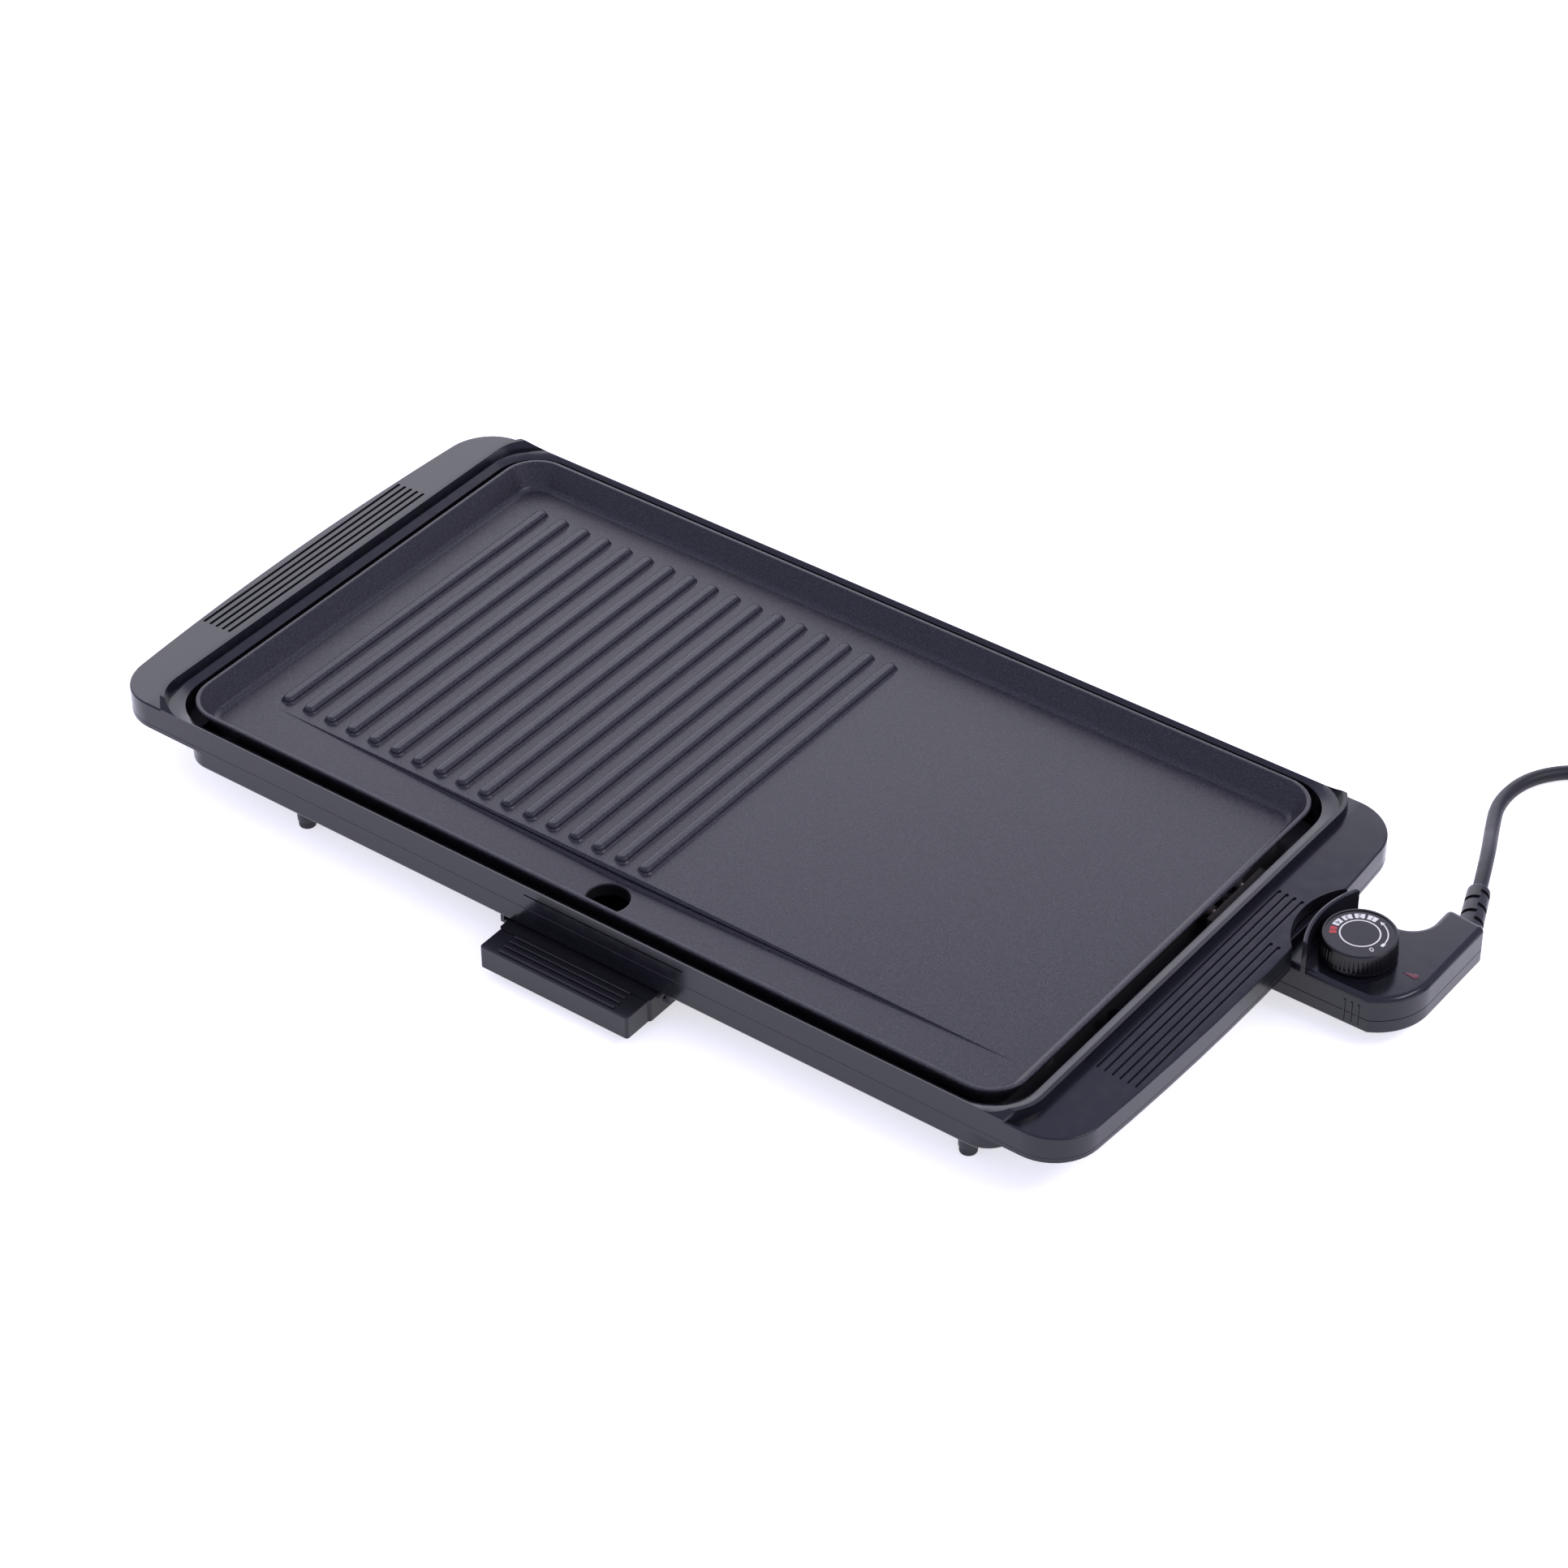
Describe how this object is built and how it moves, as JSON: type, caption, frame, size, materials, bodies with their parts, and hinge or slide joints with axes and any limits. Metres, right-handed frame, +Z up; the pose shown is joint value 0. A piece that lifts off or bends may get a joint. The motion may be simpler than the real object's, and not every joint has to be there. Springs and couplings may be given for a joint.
{
  "type": "electric griddle",
  "caption": "Table-top electric griddle: part-ribbed non-stick plate in a plastic housing with handles, drip tray and plug-in thermostat controller with mains lead.",
  "frame": {"origin": "on the table, under the middle of the cooking plate", "axes": "+X towards the thermostat controller, +Y to the back, away from the drip tray, +Z up"},
  "size_m": [0.7415, 0.4512, 0.0495],
  "materials": {
    "gloss_black_plastic": "glossy moulded",
    "nonstick_aluminium": "speckled dark non-stick coating",
    "base_plastic": "matt moulded",
    "rubber_feet": "matt",
    "zinc_steel": "zinc plated",
    "ceramic": null,
    "element_steel": "heat-tinted sheath",
    "nickel_pins": "nickel plated",
    "guard_steel": "drawn sheet",
    "reflector_aluminium": "bright rolled",
    "tray_plastic": "satin moulded",
    "heat_resistant_plastic": "dark thermoset",
    "brass_contacts": "spring brass",
    "probe_steel": "drawn tube",
    "switch_steel": "stamped",
    "dial_plastic": "satin face with pale marks",
    "red_lens": "translucent pale red",
    "neon_lamp": "clear glass",
    "relief_rubber": "satin moulded",
    "cord_jacket": "satin jacket",
    "plug_rubber": "satin moulded"
  },
  "bodies": {
    "griddle": {"housing": "gloss_black_plastic", "cooking_plate": "nonstick_aluminium", "base_panel": "base_plastic", "rubber_feet": "rubber_feet", "base_screws": "zinc_steel", "plate_spacers": "ceramic", "plate_studs": "zinc_steel", "stud_nuts": "zinc_steel", "heating_element": "element_steel", "terminal_pins": "nickel_pins", "terminal_block": "ceramic", "terminal_guard": "guard_steel", "heat_reflector": "reflector_aluminium"},
    "tray": {"drip_tray": "tray_plastic"},
    "controller": {"controller_top_shell": "gloss_black_plastic", "controller_bottom_shell": "gloss_black_plastic", "nose_block": "heat_resistant_plastic", "contact_sleeves": "brass_contacts", "temperature_probe": "probe_steel", "thermostat_switch": "switch_steel", "indicator_lens": "red_lens", "indicator_lamp": "neon_lamp", "cord_clamp": "base_plastic", "controller_screws": "zinc_steel", "strain_relief": "relief_rubber", "cord_lead": "cord_jacket", "cord_coil": "cord_jacket", "cord_tail": "cord_jacket", "mains_plug": "plug_rubber", "plug_pins": "nickel_pins", "plug_earth_contacts": "brass_contacts"},
    "dial": {"thermostat_dial": "dial_plastic", "dial_shaft": "zinc_steel"}
  },
  "joints": [
    {"name": "tray_slide", "type": "slide", "parent": "griddle", "child": "tray", "axis": [0, -1, 0], "range_m": [0, 0.11]},
    {"name": "controller_slide", "type": "slide", "parent": "griddle", "child": "controller", "axis": [1, 0, 0], "range_m": [0, 0.075]},
    {"name": "dial_turn", "type": "hinge", "parent": "controller", "child": "dial", "pos_m": [0.3065, 0.06, 0.037], "axis": [0, 0, 1], "range_deg": [-201, 37]}
  ]
}
